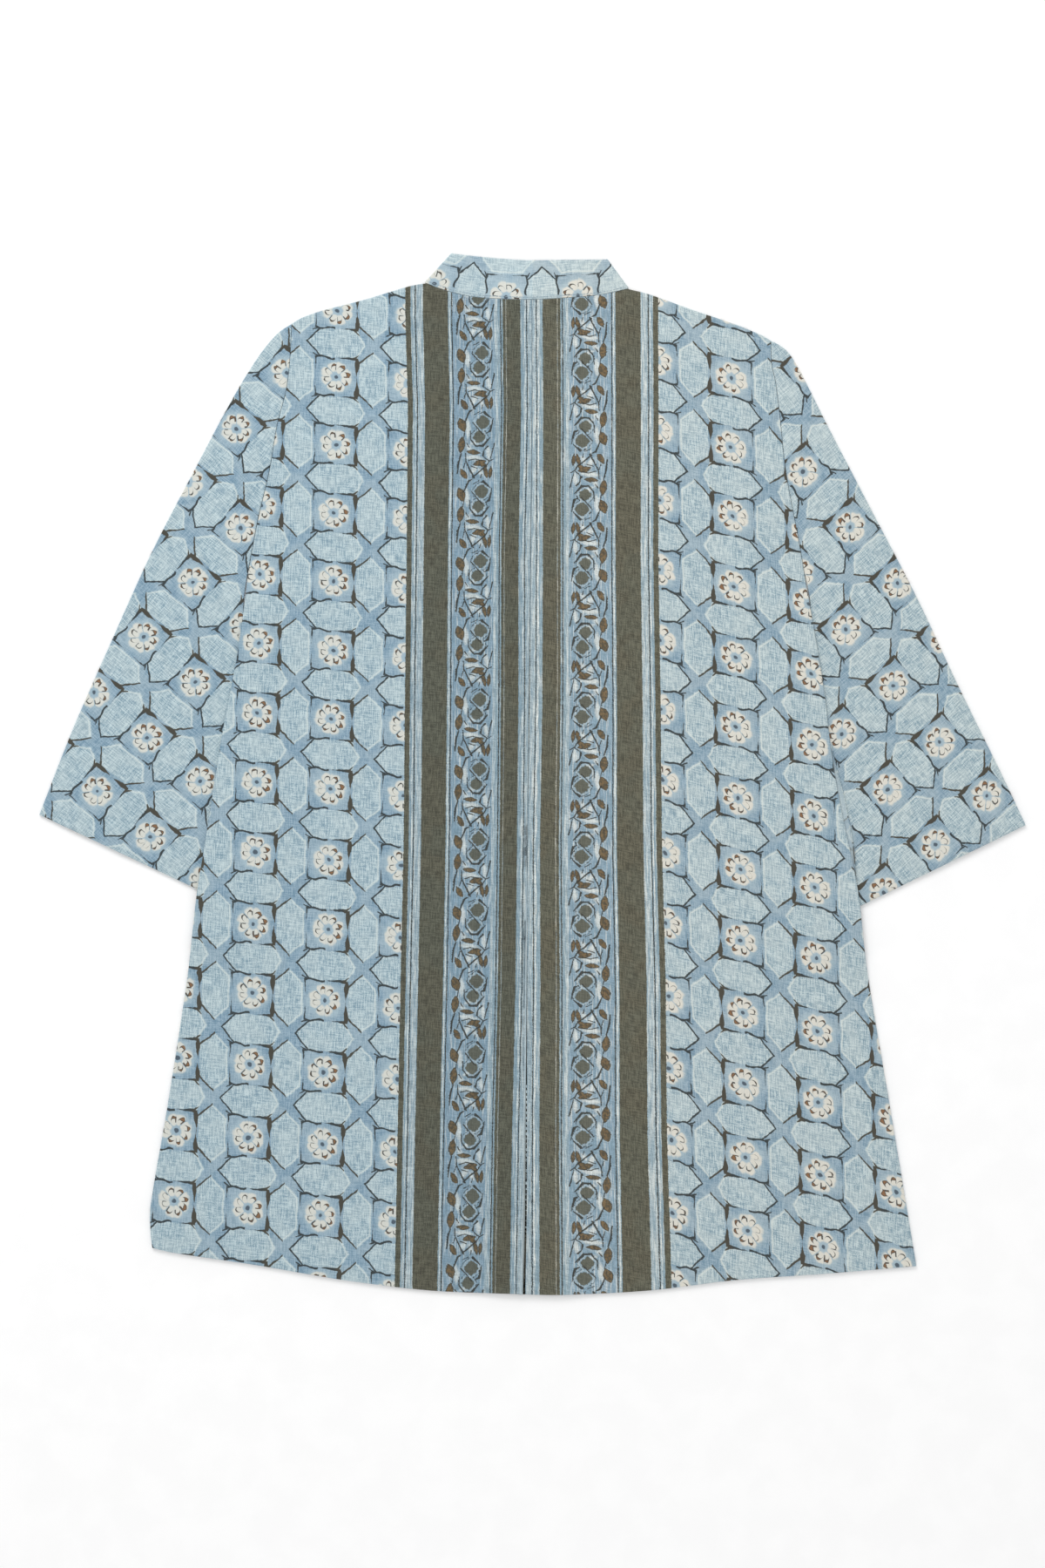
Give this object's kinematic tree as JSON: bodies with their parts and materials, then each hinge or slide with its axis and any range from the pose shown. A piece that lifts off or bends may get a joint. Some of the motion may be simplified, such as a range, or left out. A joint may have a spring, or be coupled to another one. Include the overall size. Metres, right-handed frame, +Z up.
{
  "type": "band collar shirt",
  "caption": "Band collar shirt with wide three-quarter sleeves and a flared hem, laid flat face down with its back uppermost",
  "frame": {"origin": "centre of the footprint, on the surface that the shirt lies on", "axes": "+Y from hem to collar, +Z up out of the shirt's back, +X towards the wearer's right"},
  "size_m": [0.849, 0.8966, 0.0078],
  "materials": {
    "back_cloth": "matte block-printed slub cotton, light blue trellis at the sides, olive and blue stripes at the centre",
    "front_cloth": "matte block-printed slub cotton, light blue trellis with olive and blue stripes beside the opening",
    "sleeve_cloth": "matte block-printed slub cotton, light blue trellis set diagonally",
    "band_cloth": "matte block-printed slub cotton, doubled",
    "button": "satin grey-brown"
  },
  "bodies": {
    "root": {"back_left": "back_cloth", "back_right": "back_cloth", "front_left": "front_cloth", "front_right": "front_cloth", "sleeve_left": "sleeve_cloth", "sleeve_right": "sleeve_cloth", "band_collar": "band_cloth", "button_band": "button", "button_1": "button", "button_2": "button", "button_3": "button", "button_4": "button", "button_5": "button", "button_6": "button", "button_7": "button"}
  },
  "joints": []
}
